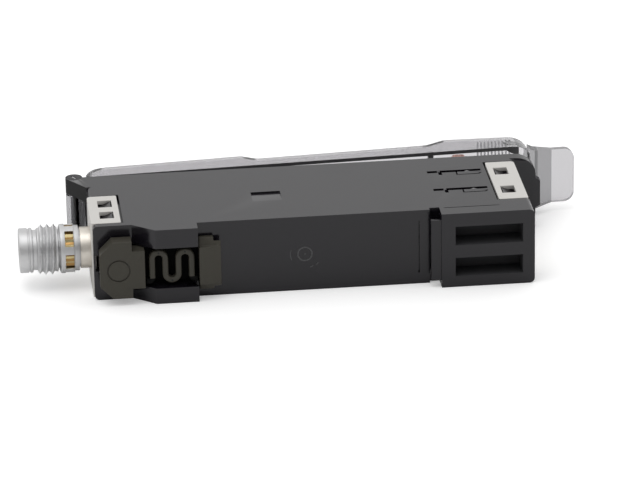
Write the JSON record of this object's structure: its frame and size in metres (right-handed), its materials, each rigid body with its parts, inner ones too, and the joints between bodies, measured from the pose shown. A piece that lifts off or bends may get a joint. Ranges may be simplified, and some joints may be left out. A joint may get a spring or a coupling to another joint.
{
  "type": "fibre optic sensor amplifier",
  "caption": "Slim DIN-rail fibre optic sensor amplifier with a clear hinged cover, a sprung rail latch, push buttons, a fibre lock slide and a round threaded plug",
  "frame": {"origin": "in the middle of the lower broad side of the housing, halfway along its body and its depth", "axes": "+X along the body from the plug to the fibre end, +Y from the rail side to the cover, +Z across the width, so it rests on its lower broad side"},
  "size_m": [0.0903, 0.0323, 0.0122],
  "materials": {
    "housing": "black moulded plastic with a fine satin surface",
    "panel": "black moulded plastic",
    "smoke_cover": "clear smoke-grey moulded plastic",
    "latch": "dark olive moulded plastic",
    "clips": "cream moulded plastic",
    "plated": "nickel-plated brass",
    "bare_brass": "brass with a knurled rim",
    "contacts": "gold-plated contact",
    "steel": "bright steel pin",
    "window": "dark red tinted window",
    "buttons": "grey rubber keys",
    "indicator": "orange light pipe",
    "display_body": "dark display body",
    "board": "green circuit board",
    "switches": "tinned switch cover",
    "insert": "black insulating plastic",
    "resin": "tinted optical resin"
  },
  "bodies": {
    "housing": {"case": "housing", "hinge_pin": "steel", "rail_latch_pad": "latch", "rail_latch_spring": "latch", "connector_end_clip": "clips", "fibre_end_clip": "clips", "front_panel": "panel", "display_window": "window", "display_module": "display_body", "indicator_lens": "indicator", "display_board": "board", "main_board": "board", "fibre_socket": "insert", "emitter_led": "resin", "receiver_photodiode": "resin", "connector_shell": "plated", "connector_flange": "plated", "collar_ring": "plated", "knurled_ring": "bare_brass", "connector_insert": "insert", "tact_switch_1": "switches", "contact_pin_1": "contacts", "tact_switch_2": "switches", "contact_pin_2": "contacts", "tact_switch_3": "switches", "contact_pin_3": "contacts", "tact_switch_4": "switches", "contact_pin_4": "contacts"},
    "cover": {"cover": "smoke_cover"},
    "latch_hook": {"rail_latch_hook": "latch"},
    "lock_slide": {"fibre_lock_slide": "clips"},
    "set_button_key": {"set_button": "buttons"},
    "mode_button_key": {"mode_button": "buttons"},
    "down_button_key": {"down_button": "buttons"},
    "up_button_key": {"up_button": "buttons"}
  },
  "joints": [
    {"name": "cover_hinge", "type": "hinge", "parent": "housing", "child": "cover", "pos_m": [-0.03572, 0.01208, 0], "axis": [0, 0, 1], "range_deg": [-2.5, 120]},
    {"name": "latch_slide", "type": "slide", "parent": "housing", "child": "latch_hook", "axis": [-1, 0, 0], "range_m": [0, 0.0015], "stiffness_N_per_m": 3000, "deforming": ["rail_latch_spring"]},
    {"name": "lock_slide_travel", "type": "slide", "parent": "housing", "child": "lock_slide", "axis": [-1, 0, 0], "range_m": [0, 0.0012]},
    {"name": "set_button_press", "type": "slide", "parent": "housing", "child": "set_button_key", "axis": [0, -1, 0], "range_m": [0, 0.0004], "stiffness_N_per_m": 1200},
    {"name": "mode_button_press", "type": "slide", "parent": "housing", "child": "mode_button_key", "axis": [0, -1, 0], "range_m": [0, 0.0004], "stiffness_N_per_m": 1200},
    {"name": "down_button_press", "type": "slide", "parent": "housing", "child": "down_button_key", "axis": [0, -1, 0], "range_m": [0, 0.0004], "stiffness_N_per_m": 1200},
    {"name": "up_button_press", "type": "slide", "parent": "housing", "child": "up_button_key", "axis": [0, -1, 0], "range_m": [0, 0.0004], "stiffness_N_per_m": 1200}
  ]
}
